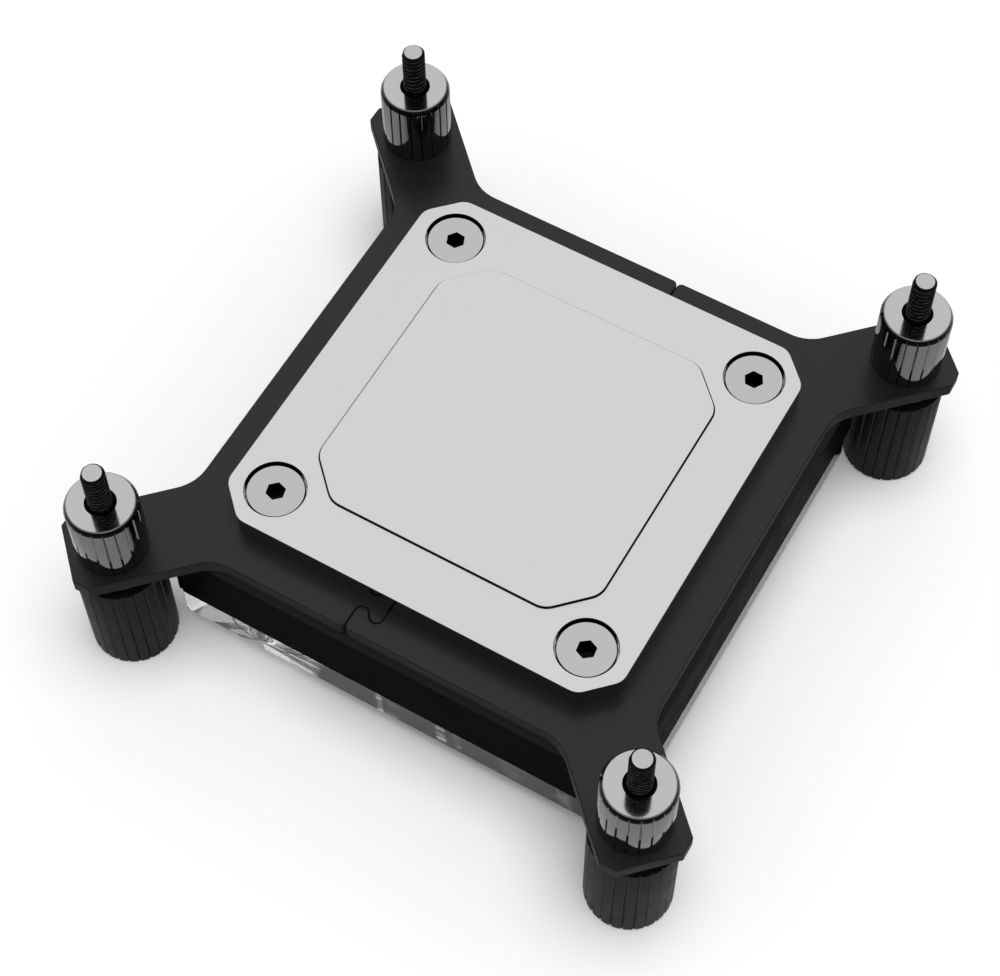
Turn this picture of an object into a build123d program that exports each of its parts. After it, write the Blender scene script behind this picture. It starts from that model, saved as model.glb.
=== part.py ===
from build123d import *
from math import atan2, cos, degrees, radians, sin
import os

# A processor water block for a square pattern of four studs, lying with its cold
# plate up and standing on its four thumb nuts.
# Millimetres, +Z up, +X along the front edge. The origin is the middle of the
# footprint, at the level that the thumb nuts stand on.

os.makedirs("parts", exist_ok=True)

# Clearances between pieces that fit together
thread_clearance = 0.05  # round the shank of a screw or stud in its thread, on the radius
pass_clearance = 0.2  # round a shank in a plain hole, on the radius
opening_clearance = 0.2  # round the cold plate's boss and the clear block, on each side
seam_gap = 0.1  # between the two halves of the bracket

# Corners in the order that numbers the fasteners: back left, back right, front left, front right
corners = ((-1, 1), (1, 1), (-1, -1), (1, -1))

# Studs: a thick lower part in the nut and collar, and a thin free end
stud_pitch = 78.0  # side of the square that the studs stand on
stud_dia = 4.0
stud_end_dia = 3.15
stud_above_collar = 7.3
stud_inset = 1.0  # from the foot of the nut to the lower end of the stud

# Thumb nuts
nut_dia = 12.0
nut_height = 19.7
nut_groove_count = 24
nut_groove_width = 0.4
nut_groove_depth = 0.25
nut_turns = (3.0, 7.0, 10.0, 5.0)

# Washers between the nuts and the bracket
washer_dia = 10.7
washer_thickness = 1.5

# Knurled collars on the far side of the bracket
collar_dia = 9.8
collar_height = 10.7
collar_chamfer_height = 0.8
collar_chamfer_step = 0.35
collar_groove_count = 20
collar_groove_width = 0.45
collar_groove_depth = 0.2
collar_turns = (4.0, 9.0, 1.0, 13.4)

# Bracket in two halves that hook into each other
bracket_thickness = 2.2
arm_width = 12.1
arm_overhang = 6.05  # from the stud's axis to the end of the arm
arm_tip_chamfer = 1.7
arm_root_radius = 6.0
seam_outer_x = 6.15
seam_inner_x = 2.25
seam_crest = 3.95  # depth of the first bend, from the bracket's edge
seam_trough = 2.48  # depth of the second bend
seam_lean = 0.96  # sideways lean of the seam between its two bends
seam_radius = 0.94
seam_lip_radius = 0.8

# Cold plate
boss_wall = 1.52  # from a screw hole to the boss's side
boss_corner_wall = 0.25  # from a screw hole to the boss's cut corner
rim_overhang = 2.54
plate_corner = 4.3
plate_corner_round = 2.5
plate_rim_height = 3.9
land_inset = 2.03  # from the screws' axes in to the land's side
land_recess_gap = 2.45
land_corner_round = 3.0
land_height = 0.33
fin_end_inset = 1.5  # from the moat's outline in to the ends of the fins
fin_pitch = 1.6
fin_gap = 0.8
fin_depth = 2.6

# Low-head screws of the cold plate
screw_inset = 15.72  # from the studs' axes in to the screws' axes
screw_head_dia = 7.9
screw_head_height = 2.0
screw_head_sink = 0.5  # from the plate's face down to the head
screw_recess_dia = 8.4
screw_shank_dia = 4.0
screw_length = 22.0
screw_socket_flats = 2.5
screw_socket_depth = 1.6
screw_turns = (53.0, 58.5, 43.5, 37.5)
screw_end_room = 0.3  # between the end of the screw and the bottom of its hole

# Black frame round the clear block
frame_height = 12.7
frame_inset = 3.8  # from the studs' axes in to the frame's side
frame_nut_gap = 1.07
frame_bevel_height = 1.0
frame_bevel_step = 0.65
frame_foot_inset = 0.45
frame_foot_nut_gap = 1.42
frame_foot_height = 1.8

# Clear top: a flange and a block with the water ways
flange_thickness = 5.1
flange_inset = 0.5
flange_nut_gap = 1.49
block_inset = 2.28  # from the screws' axes in to the block's side
block_corner = 3.5
port_wall = 1.92  # from a port to the block's side
port_dia = 13.157
port_depth = 9.0
moat_inset = 2.3  # from the seal's centre line in to the moat
moat_corner = 3.0
moat_depth = 4.7
channel_x = 3.5  # width of the moat beside the island, and at its two ends
channel_y = 6.0
inlet_pocket_inset = 2.0
inlet_pocket_y = 8.0
inlet_pocket_depth = 6.8
inlet_drill_dia = 6.0
inlet_drill_slope = 35.0
inlet_drill_offset = 0.8  # from the middle of the island to the end of the drilling

# Jet plate on the island
jet_plate_thickness = 1.0
jet_slot_width = 1.2

# Seal ring, squeezed to the depth of its groove
seal_inset = 2.2  # from the block's side in to the seal's centre line
seal_corner_radius = 4.5
seal_width = 2.1
seal_groove_depth = 1.5
seal_side_room = 0.1

# Levels, from the foot up
bracket_z = nut_height + washer_thickness
rim_z = bracket_z + bracket_thickness
face_z = rim_z + plate_rim_height
collar_top_z = rim_z + collar_height
frame_z = bracket_z - frame_height
flange_z = frame_z - flange_thickness
head_z = face_z - screw_head_sink
island_z = bracket_z - jet_plate_thickness

# Radii that several pieces share
stud_thread_radius = stud_dia / 2 + thread_clearance
stud_pass_radius = stud_dia / 2 + pass_clearance
screw_pass_radius = screw_shank_dia / 2 + pass_clearance

# Outlines, from the studs in: half the side of each square, and what its corners are cut by
screw_pitch = stud_pitch - 2 * screw_inset
boss_half = screw_pitch / 2 + screw_pass_radius + boss_wall
plate_half = boss_half + rim_overhang
land_half = screw_pitch / 2 - land_inset
frame_half = stud_pitch / 2 - frame_inset
bracket_half = frame_half - frame_bevel_step
frame_foot_half = frame_half - frame_foot_inset
flange_half = frame_half - flange_inset
block_half = screw_pitch / 2 - block_inset
seal_half = block_half - seal_inset
moat_half = seal_half - moat_inset
jet_plate_x = 2 * (moat_half - channel_x)
jet_plate_y = 2 * (moat_half - channel_y)
port_pitch = 2 * block_half - 2 * port_wall - port_dia


def cut_towards(half, pitch, reach):
    """How much to cut from a square's corner, to leave a reach round a point of a square pattern."""
    return 2 * half - pitch + 2**0.5 * reach


boss_corner = cut_towards(boss_half, screw_pitch, -screw_pass_radius - boss_corner_wall)
land_corner = cut_towards(land_half, screw_pitch, screw_recess_dia / 2 + land_recess_gap)
frame_corner = cut_towards(frame_half, stud_pitch, nut_dia / 2 + frame_nut_gap)
frame_foot_corner = cut_towards(frame_foot_half, stud_pitch, nut_dia / 2 + frame_foot_nut_gap)
flange_corner = cut_towards(flange_half, stud_pitch, nut_dia / 2 + flange_nut_gap)


def finish(piece, name):
    """Label a finished piece and write it under its own name."""
    piece.part.label = name
    export_step(piece.part, f"parts/{name}.step")


def corner_plane(corner, pitch, height):
    """A level plane whose origin is on one corner of a square pattern."""
    return Plane(origin=(corner[0] * pitch / 2, corner[1] * pitch / 2, height))


def cut_corner_square(sketch, half, corner, corner_round=0.0):
    """Sketch a square with cut corners, rounded where the cuts meet the sides."""
    Rectangle(2 * half, 2 * half)
    chamfer(sketch.vertices(), corner)
    if corner_round > 0:
        fillet(sketch.vertices(), corner_round)


def round_ring(half, radius, width):
    """Sketch a rounded square ring of one width, given its centre line."""
    outer = half + width / 2
    inner = half - width / 2
    RectangleRounded(2 * outer, 2 * outer, radius + width / 2)
    RectangleRounded(2 * inner, 2 * inner, radius - width / 2, mode=Mode.SUBTRACT)


def knurl_outline(radius, count, width, depth, turn):
    """Sketch a knurled outline: straight lands with a narrow V groove between each two."""
    lip_turn = degrees(width / radius) / 2
    points = []
    for groove in range(count):
        middle = turn + groove * 360 / count
        points.append(polar_point(radius, middle - lip_turn))
        points.append(polar_point(radius - depth, middle))
        points.append(polar_point(radius, middle + lip_turn))
    Polygon(*points, align=None)


def polar_point(radius, angle):
    """The point at a radius and an angle in degrees."""
    return (radius * cos(radians(angle)), radius * sin(radians(angle)))


# Studs
for number, corner in enumerate(corners, start=1):
    with BuildPart() as stud:
        with BuildSketch(corner_plane(corner, stud_pitch, stud_inset)):
            Circle(stud_dia / 2)
        extrude(amount=collar_top_z - stud_inset)
        with BuildSketch(corner_plane(corner, stud_pitch, collar_top_z)):
            Circle(stud_end_dia / 2)
        extrude(amount=stud_above_collar)
    finish(stud, f"stud_{number}")

# Thumb nuts
for number, corner in enumerate(corners, start=1):
    nut_knurl = (nut_groove_count, nut_groove_width, nut_groove_depth, nut_turns[number - 1])
    with BuildPart() as nut:
        with BuildSketch(corner_plane(corner, stud_pitch, 0)):
            knurl_outline(nut_dia / 2, *nut_knurl)
        extrude(amount=nut_height)
        with BuildSketch(corner_plane(corner, stud_pitch, 0)):
            Circle(stud_thread_radius)
        extrude(amount=nut_height, mode=Mode.SUBTRACT)
    finish(nut, f"thumb_nut_{number}")

# Washers
for number, corner in enumerate(corners, start=1):
    with BuildPart() as washer:
        with BuildSketch(corner_plane(corner, stud_pitch, nut_height)):
            Circle(washer_dia / 2)
            Circle(stud_pass_radius, mode=Mode.SUBTRACT)
        extrude(amount=washer_thickness)
    finish(washer, f"washer_{number}")

# Collars
for number, corner in enumerate(corners, start=1):
    collar_knurl = (collar_groove_count, collar_groove_width, collar_groove_depth, collar_turns[number - 1])
    with BuildPart() as collar:
        with BuildSketch(corner_plane(corner, stud_pitch, rim_z)):
            knurl_outline(collar_dia / 2, *collar_knurl)
        extrude(amount=collar_height)
        collar_top = collar.faces().sort_by(Axis.Z)[-1]
        chamfer(collar_top.edges(), collar_chamfer_step, collar_chamfer_height, reference=collar_top)
        with BuildSketch(corner_plane(corner, stud_pitch, rim_z)):
            Circle(stud_thread_radius)
        extrude(amount=collar_height, mode=Mode.SUBTRACT)
    finish(collar, f"collar_{number}")


def bracket_outline(outline):
    """Sketch the whole bracket: a square with an arm along each diagonal."""
    arm_reach = stud_pitch / 2 * 2**0.5 + arm_overhang
    Rectangle(2 * bracket_half, 2 * bracket_half)
    for diagonal in (45, -45):
        Rectangle(2 * arm_reach, arm_width, rotation=diagonal)
    from_middle = outline.vertices().sort_by_distance((0, 0))
    roots = from_middle[:8]
    tips = from_middle[8:]
    chamfer(tips, arm_tip_chamfer)
    fillet(roots, arm_root_radius)


def on_bracket_edge(point):
    """Tell whether a point of the sketch lies on the bracket's square edge, at the end of a seam."""
    beside_seam = abs(abs(point.X) - seam_outer_x) < seam_gap
    return beside_seam and abs(abs(point.Y) - bracket_half) < seam_gap


# Bracket halves: the right one is the left one turned by half a turn
far = stud_pitch
front_seam_points = (
    (-seam_outer_x, -far),
    (-seam_outer_x, seam_crest - bracket_half),
    (-(seam_outer_x + seam_inner_x + seam_lean) / 2, seam_crest - bracket_half),
    (-(seam_outer_x + seam_inner_x - seam_lean) / 2, seam_trough - bracket_half),
    (-seam_inner_x, seam_trough - bracket_half),
    (-seam_inner_x, 0),
)
back_seam_points = tuple((-x, -y) for x, y in front_seam_points)
for name, turn in (("left", 0), ("right", 180)):
    half_plane = Plane.XY.offset(bracket_z).rotated((0, 0, turn))
    with BuildLine() as seams:
        FilletPolyline(*front_seam_points, radius=seam_radius)
        FilletPolyline(*back_seam_points, radius=seam_radius)
    with BuildPart() as half:
        with BuildSketch(half_plane) as outline:
            bracket_outline(outline)
            with BuildLine():
                front_seam = FilletPolyline(*front_seam_points, radius=seam_radius)
                back_seam = FilletPolyline(*back_seam_points, radius=seam_radius)
                Line(front_seam @ 1, back_seam @ 1)
                Polyline(back_seam @ 0, (-far, far), (-far, -far), front_seam @ 0)
            make_face(mode=Mode.INTERSECT)
            trace(seams.line, line_width=seam_gap, mode=Mode.SUBTRACT)
            fillet(outline.vertices().filter_by(on_bracket_edge), seam_lip_radius)
        extrude(amount=bracket_thickness)
        with BuildSketch(half_plane) as opening:
            cut_corner_square(opening, boss_half + opening_clearance, boss_corner)
        extrude(amount=bracket_thickness, mode=Mode.SUBTRACT)
        with BuildSketch(half_plane):
            with GridLocations(stud_pitch, stud_pitch, 2, 2):
                Circle(stud_pass_radius)
        extrude(amount=bracket_thickness, mode=Mode.SUBTRACT)
    finish(half, f"bracket_half_{name}")

# Cold plate: a boss through the bracket, a rim over it, a land on its face and fins in its boss
fin_count = int(jet_plate_x / fin_pitch)
fin_length = 2 * (moat_half - fin_end_inset)
with BuildPart() as cold_plate:
    with BuildSketch(Plane.XY.offset(bracket_z)) as boss:
        cut_corner_square(boss, boss_half, boss_corner)
    extrude(amount=bracket_thickness)
    with BuildSketch(Plane.XY.offset(rim_z)) as rim:
        cut_corner_square(rim, plate_half, plate_corner, plate_corner_round)
    extrude(amount=plate_rim_height)
    with BuildSketch(Plane.XY.offset(face_z)) as land:
        cut_corner_square(land, land_half, land_corner, land_corner_round)
    extrude(amount=land_height)
    with BuildSketch(Plane.XY.offset(bracket_z)):
        with GridLocations(fin_pitch, 0, fin_count, 1):
            Rectangle(fin_gap, fin_length)
    extrude(amount=fin_depth, mode=Mode.SUBTRACT)
    with BuildSketch(Plane.XY.offset(face_z)):
        with GridLocations(screw_pitch, screw_pitch, 2, 2):
            Circle(screw_recess_dia / 2)
    extrude(amount=head_z - screw_head_height - face_z, mode=Mode.SUBTRACT)
    with BuildSketch(Plane.XY.offset(bracket_z)):
        with GridLocations(screw_pitch, screw_pitch, 2, 2):
            Circle(screw_pass_radius)
    extrude(amount=face_z - bracket_z, mode=Mode.SUBTRACT)
finish(cold_plate, "cold_plate")

# Screws of the cold plate
socket_radius = screw_socket_flats / 3**0.5
for number, corner in enumerate(corners, start=1):
    with BuildPart() as screw:
        with BuildSketch(corner_plane(corner, screw_pitch, head_z)):
            Circle(screw_head_dia / 2)
        extrude(amount=-screw_head_height)
        with BuildSketch(corner_plane(corner, screw_pitch, head_z - screw_head_height)):
            Circle(screw_shank_dia / 2)
        extrude(amount=screw_head_height - screw_length)
        with BuildSketch(corner_plane(corner, screw_pitch, head_z)):
            RegularPolygon(socket_radius, 6, rotation=screw_turns[number - 1])
        extrude(amount=-screw_socket_depth, mode=Mode.SUBTRACT)
    finish(screw, f"cold_plate_screw_{number}")

# Black frame: a foot, a wider wall and a bevel up to the bracket's outline
frame_bevel_angle = degrees(atan2(frame_bevel_step, frame_bevel_height))
with BuildPart() as frame:
    with BuildSketch(Plane.XY.offset(frame_z)) as foot:
        cut_corner_square(foot, frame_foot_half, frame_foot_corner)
    extrude(amount=frame_foot_height)
    with BuildSketch(Plane.XY.offset(frame_z + frame_foot_height)) as wall:
        cut_corner_square(wall, frame_half, frame_corner)
    extrude(amount=frame_height - frame_foot_height - frame_bevel_height)
    with BuildSketch(Plane.XY.offset(bracket_z - frame_bevel_height)) as bevel:
        cut_corner_square(bevel, frame_half, frame_corner)
    extrude(amount=frame_bevel_height, taper=frame_bevel_angle)
    with BuildSketch(Plane.XY.offset(frame_z)) as opening:
        cut_corner_square(opening, block_half + opening_clearance, block_corner)
    extrude(amount=frame_height, mode=Mode.SUBTRACT)
    with BuildSketch(Plane.XY.offset(frame_z)):
        with GridLocations(screw_pitch, screw_pitch, 2, 2):
            Circle(screw_pass_radius)
    extrude(amount=frame_height, mode=Mode.SUBTRACT)
finish(frame, "black_frame")

# Clear top: the flange and block, the moat round the island, the two ports and their ways in
inlet_pocket_x = jet_plate_x - 2 * inlet_pocket_inset
port_top_z = flange_z + port_depth
screw_end_z = head_z - screw_length - screw_end_room
drill_plane = Plane(
    origin=(0, -port_pitch / 2, flange_z + port_depth / 2),
    x_dir=(1, 0, 0),
    z_dir=(0, cos(radians(inlet_drill_slope)), sin(radians(inlet_drill_slope))),
)
inlet_drill_length = (port_pitch / 2 - inlet_drill_offset) / cos(radians(inlet_drill_slope))
with BuildPart() as clear_top:
    with BuildSketch(Plane.XY.offset(flange_z)) as flange:
        cut_corner_square(flange, flange_half, flange_corner)
    extrude(amount=flange_thickness)
    with BuildSketch(Plane.XY.offset(frame_z)) as block:
        cut_corner_square(block, block_half, block_corner)
    extrude(amount=frame_height)
    with BuildSketch(Plane.XY.offset(bracket_z)) as moat:
        cut_corner_square(moat, moat_half, moat_corner)
        Rectangle(jet_plate_x, jet_plate_y, mode=Mode.SUBTRACT)
    extrude(amount=-moat_depth, mode=Mode.SUBTRACT)
    with BuildSketch(Plane.XY.offset(bracket_z)) as jet_seat:
        cut_corner_square(jet_seat, moat_half, moat_corner)
    extrude(amount=-jet_plate_thickness, mode=Mode.SUBTRACT)
    with BuildSketch(Plane.XY.offset(island_z)):
        Rectangle(inlet_pocket_x, inlet_pocket_y)
    extrude(amount=jet_plate_thickness - inlet_pocket_depth, mode=Mode.SUBTRACT)
    with BuildSketch(Plane.XY.offset(bracket_z)):
        round_ring(seal_half, seal_corner_radius, seal_width + 2 * seal_side_room)
    extrude(amount=-seal_groove_depth, mode=Mode.SUBTRACT)
    with BuildSketch(Plane.XY.offset(flange_z)):
        with GridLocations(0, port_pitch, 1, 2):
            Circle(port_dia / 2)
    extrude(amount=port_depth, mode=Mode.SUBTRACT)
    with BuildSketch(drill_plane):
        Circle(inlet_drill_dia / 2)
    extrude(amount=inlet_drill_length, mode=Mode.SUBTRACT)
    with BuildSketch(Plane(origin=(0, moat_half - channel_y / 2, port_top_z))):
        Circle(channel_y / 2)
    extrude(amount=bracket_z - moat_depth - port_top_z, mode=Mode.SUBTRACT)
    with BuildSketch(Plane.XY.offset(frame_z)):
        with GridLocations(screw_pitch, screw_pitch, 2, 2):
            Circle(screw_shank_dia / 2 + thread_clearance)
    extrude(amount=screw_end_z - frame_z, mode=Mode.SUBTRACT)
finish(clear_top, "clear_top")

# Jet plate
with BuildPart() as jet_plate:
    with BuildSketch(Plane.XY.offset(island_z)):
        Rectangle(jet_plate_x, jet_plate_y)
        SlotOverall(inlet_pocket_x, jet_slot_width, mode=Mode.SUBTRACT)
    extrude(amount=jet_plate_thickness)
finish(jet_plate, "jet_plate")

# Seal ring
with BuildPart() as seal:
    with BuildSketch(Plane.XY.offset(bracket_z - seal_groove_depth)):
        round_ring(seal_half, seal_corner_radius, seal_width)
    extrude(amount=seal_groove_depth)
finish(seal, "seal_ring")
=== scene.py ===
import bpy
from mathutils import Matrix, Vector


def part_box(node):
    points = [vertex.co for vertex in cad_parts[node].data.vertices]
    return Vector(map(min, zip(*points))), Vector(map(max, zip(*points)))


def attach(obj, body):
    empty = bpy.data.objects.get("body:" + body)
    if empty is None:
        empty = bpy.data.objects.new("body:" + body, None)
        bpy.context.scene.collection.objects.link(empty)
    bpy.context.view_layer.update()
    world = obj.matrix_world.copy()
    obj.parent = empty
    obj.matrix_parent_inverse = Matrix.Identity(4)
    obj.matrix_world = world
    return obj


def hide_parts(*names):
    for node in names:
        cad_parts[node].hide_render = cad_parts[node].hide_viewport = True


bl_info = {
    "name": "CPU Water Block",
    "version": (1, 0, 0),
    "blender": (4, 5, 0),
    "location": "View3D > Sidebar > Water Block",
    "description": "Dresses a processor water block that lies with its cold plate up",
    "category": "Object",
}

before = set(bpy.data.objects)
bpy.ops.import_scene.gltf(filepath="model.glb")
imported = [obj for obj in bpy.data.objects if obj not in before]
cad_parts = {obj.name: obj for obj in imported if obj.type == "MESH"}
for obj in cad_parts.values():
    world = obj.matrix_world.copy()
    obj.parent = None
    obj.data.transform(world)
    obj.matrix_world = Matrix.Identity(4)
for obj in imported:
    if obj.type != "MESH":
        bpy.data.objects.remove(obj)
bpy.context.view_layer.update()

from math import cos, pi, radians, sin

import bmesh
import bpy
from bpy.props import FloatProperty, FloatVectorProperty, IntProperty, PointerProperty
from bpy.types import Operator, Panel, PropertyGroup

ROOT = "root"
MM = 0.001
CORNERS = (1, 2, 3, 4)  # back left, back right, front left, front right

# How far each nut, collar and screw is turned, in degrees, in the order of the corners
NUT_TURNS = (3.0, 7.0, 10.0, 5.0)
COLLAR_TURNS = (4.0, 9.0, 1.0, 13.4)
SCREW_TURNS = (53.0, 58.5, 43.5, 37.5)

MERGE = 1e-6  # points nearer to each other than this are one
NEAR = 0.05 * MM  # what lies nearer to a level than this lies on it
FACES_UP = 0.9  # the normal of a level face rises by more than this
LEANS_UP = 0.3  # and that of a bevel by more than this
UPRIGHT = 0.5  # the normal of an upright wall rises or falls by less than this
FLAT_ANGLE = radians(0.5)  # faces that bend by less are joined
SOLID_CREASE = radians(28)  # edges of a CAD solid that bend by more are sharp
TURNED_CREASE = radians(32)  # and so are those of a turned piece
ROOT_FILLET = 0.2 * MM
HEAD_HEIGHT = 2 * MM
BLASTED_DEPTH = 2 * MM  # below the land, what faces up is blasted down to here


class FastenerSizes(PropertyGroup):
    """Sizes of the turned and threaded pieces."""

    nut_grooves: IntProperty(name="Nut Grooves", description="Grooves round a thumb nut", default=24, min=6)
    nut_groove_width: FloatProperty(
        name="Nut Groove Width", description="Width of a groove at its mouth", default=0.42 * MM,
        unit="LENGTH")
    nut_groove_depth: FloatProperty(
        name="Nut Groove Depth", description="Depth of a groove", default=0.25 * MM, unit="LENGTH")
    collar_grooves: IntProperty(
        name="Collar Grooves", description="Grooves round a collar", default=20, min=6)
    collar_groove_width: FloatProperty(
        name="Collar Groove Width", description="Width of a groove at its mouth", default=0.3 * MM,
        unit="LENGTH")
    collar_groove_depth: FloatProperty(
        name="Collar Groove Depth", description="Depth of a groove", default=0.2 * MM, unit="LENGTH")
    mouth_radius: FloatProperty(
        name="Mouth Radius", description="Radius of the wide mouth in a collar's top", default=1.98 * MM,
        unit="LENGTH")
    mouth_depth: FloatProperty(
        name="Mouth Depth", description="Depth of the wide mouth", default=1.6 * MM, unit="LENGTH")
    thread_pitch: FloatProperty(
        name="Thread Pitch", description="Rise of the stud's thread in a turn", default=0.78 * MM,
        unit="LENGTH")
    thread_depth: FloatProperty(
        name="Thread Depth", description="Depth of the stud's thread", default=0.2 * MM, unit="LENGTH")
    stud_radius: FloatProperty(
        name="Stud Radius", description="Radius over the stud's thread", default=1.62 * MM, unit="LENGTH")
    stud_tip_radius: FloatProperty(
        name="Stud Tip Radius", description="Radius of the flat end of a stud", default=1.25 * MM,
        unit="LENGTH")


class EdgeSizes(PropertyGroup):
    """Widths of the broken edges."""

    bracket_edge: FloatProperty(
        name="Bracket Edge", description="Rounding of the bracket's edges", default=0.35 * MM, unit="LENGTH")
    plate_edge: FloatProperty(
        name="Plate Edge", description="Rounding of the cold plate's edges", default=0.12 * MM, unit="LENGTH")
    land_height: FloatProperty(
        name="Land Height", description="Height of the land over the plate's face", default=0.33 * MM,
        unit="LENGTH")
    frame_edge: FloatProperty(
        name="Frame Edge", description="Rounding of the black frame's edges", default=0.2 * MM, unit="LENGTH")
    clear_edge: FloatProperty(
        name="Clear Edge", description="Rounding of the clear top's edges", default=0.12 * MM, unit="LENGTH")


class FinishColours(PropertyGroup):
    """Colours of the finishes."""

    plate_nickel: FloatVectorProperty(
        name="Plate Nickel", description="Blasted face of the cold plate", subtype="COLOR",
        default=(0.645, 0.645, 0.645))
    bright_nickel: FloatVectorProperty(
        name="Bright Nickel", description="Faced ends of the collars, studs and screws", subtype="COLOR",
        default=(0.5, 0.5, 0.5))
    # Painted shade: a darker copy of the collars' nickel for their sides
    shaded_side_nickel: FloatVectorProperty(
        name="Dark Nickel", description="Knurled sides of the collars", subtype="COLOR",
        default=(0.14, 0.14, 0.14))
    # Painted shade: darker copies of the plate's nickel for its rounded edges and its upright walls
    shaded_edge_nickel: FloatVectorProperty(
        name="Edge Nickel", description="Rounded edges of the cold plate", subtype="COLOR",
        default=(0.22, 0.22, 0.22))
    shaded_wall_nickel: FloatVectorProperty(
        name="Wall Nickel", description="Upright walls of the cold plate", subtype="COLOR",
        default=(0.2, 0.2, 0.2))
    # Painted highlight: the thread's crests are lighter, in spots, in place of reflected glints
    crest_glint: FloatVectorProperty(
        name="Thread Crest", description="Crests of the studs' threads, with a painted highlight", subtype="COLOR",
        default=(0.028, 0.028, 0.028))
    # Painted shade: nickel painted near black on the collars' chamfers and the screws' sides and sockets
    black_shade_nickel: FloatVectorProperty(
        name="Black Nickel", description="Threads, sockets and chamfers", subtype="COLOR",
        default=(0.004, 0.004, 0.004))
    bracket_black: FloatVectorProperty(
        name="Bracket Black", description="Anodised bracket", subtype="COLOR", default=(0.004, 0.004, 0.0043))
    # Painted shade on the bracket's sides and rounded edges, and painted light on the frame's bevels, which
    # take this colour too
    side_light_and_shade: FloatVectorProperty(
        name="Bracket Side", description="Cut sides of the bracket", subtype="COLOR",
        default=(0.013, 0.013, 0.0135))
    nut_black: FloatVectorProperty(
        name="Nut Black", description="Thumb nuts", subtype="COLOR", default=(0.0095, 0.0095, 0.01))
    frame_black: FloatVectorProperty(
        name="Frame Black", description="Moulded frame", subtype="COLOR", default=(0.0032, 0.0032, 0.0034))
    clear_tint: FloatVectorProperty(
        name="Clear Tint", description="Polished clear top", subtype="COLOR", default=(0.94, 0.94, 0.94))
    jet_steel: FloatVectorProperty(
        name="Jet Steel", description="Jet plate inside the clear top", subtype="COLOR",
        default=(0.42, 0.42, 0.41))
    seal_black: FloatVectorProperty(
        name="Seal Black", description="Seal inside the clear top", subtype="COLOR",
        default=(0.02, 0.02, 0.02))
    floor: FloatVectorProperty(
        name="Floor", description="Pale studio floor", subtype="COLOR", default=(0.92, 0.92, 0.92))


class Calc:
    """Writes sums and other nodes into a shader tree or a geometry tree."""

    def __init__(self, tree):
        self.tree = tree

    def link(self, value, socket):
        """Feeds a socket from another socket or with a plain value."""
        if isinstance(value, bpy.types.NodeSocket):
            self.tree.links.new(value, socket)
        else:
            socket.default_value = value

    def node(self, kind, **inputs):
        """A node of a kind with some inputs fed."""
        node = self.tree.nodes.new(kind)
        for name, value in inputs.items():
            self.link(value, node.inputs[name.replace("_", " ")])
        return node

    def group(self, name, **inputs):
        """A shared shader group, placed with some inputs fed."""
        node = self.tree.nodes.new("ShaderNodeGroup")
        node.node_tree = shared(name)
        for label, value in inputs.items():
            self.link(value, node.inputs[label])
        return node

    def math(self, operation, *values):
        """The result of a Math node."""
        node = self.tree.nodes.new("ShaderNodeMath")
        node.operation = operation
        for value, socket in zip(values, node.inputs):
            self.link(value, socket)
        return node.outputs[0]

    def add(self, *values):
        """The sum of any number of values."""
        total = values[0]
        for value in values[1:]:
            total = self.math("ADD", total, value)
        return total

    def reach(self, *steps):
        """The length of a way that has a step along each axis."""
        return self.math("SQRT", self.add(*[self.math("MULTIPLY", step, step) for step in steps]))

    def ramp(self, value, start, end, low, high):
        """A value that goes from low to high while another goes from start to end."""
        node = self.node(
            "ShaderNodeMapRange", Value=value, From_Min=start, From_Max=end, To_Min=low, To_Max=high)
        return node.outputs[0]

    def pick(self, index, values):
        """The value that stands at an index."""
        node = self.tree.nodes.new("GeometryNodeIndexSwitch")
        node.data_type = "FLOAT"
        while len(node.index_switch_items) < len(values):
            node.index_switch_items.new()
        self.link(index, node.inputs[0])
        for value, socket in zip(values, node.inputs[1:]):
            self.link(value, socket)
        return node.outputs[0]


def group_tree(name, inputs, outputs):
    """A shader node group with named sockets, and its two end nodes."""
    tree = bpy.data.node_groups.new(name, "ShaderNodeTree")
    for label, kind, value in inputs:
        socket = tree.interface.new_socket(label, in_out="INPUT", socket_type=kind)
        if value is not None:
            socket.default_value = value
    for label, kind in outputs:
        tree.interface.new_socket(label, in_out="OUTPUT", socket_type=kind)
    return tree, tree.nodes.new("NodeGroupInput"), tree.nodes.new("NodeGroupOutput")


FINE_DETAIL = 3.0
COARSE_DETAIL = 2.0
COARSE_SCALE = 0.06  # the coarse noise's scale as a share of the fine one's
NOISE_SPAN = (0.3, 0.7)  # where most of a noise's values lie


def grain_group(name):
    """Fine grain: a height and a mask from two sizes of noise."""
    tree, source, sink = group_tree(
        name,
        [("Vector", "NodeSocketVector", None), ("Size", "NodeSocketFloat", 3000.0),
         ("Coarse", "NodeSocketFloat", 0.3)],
        [("Height", "NodeSocketFloat"), ("Mask", "NodeSocketFloat")])
    calc = Calc(tree)
    place, size = source.outputs["Vector"], source.outputs["Size"]
    coarse_size = calc.math("MULTIPLY", size, COARSE_SCALE)
    fine = calc.node("ShaderNodeTexNoise", Vector=place, Scale=size, Detail=FINE_DETAIL)
    coarse = calc.node("ShaderNodeTexNoise", Vector=place, Scale=coarse_size, Detail=COARSE_DETAIL)
    blend = calc.node(
        "ShaderNodeMix", Factor=source.outputs["Coarse"], A=fine.outputs["Fac"], B=coarse.outputs["Fac"])
    calc.link(blend.outputs["Result"], sink.inputs["Height"])
    calc.link(coarse.outputs["Fac"], sink.inputs["Mask"])
    return tree


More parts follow.
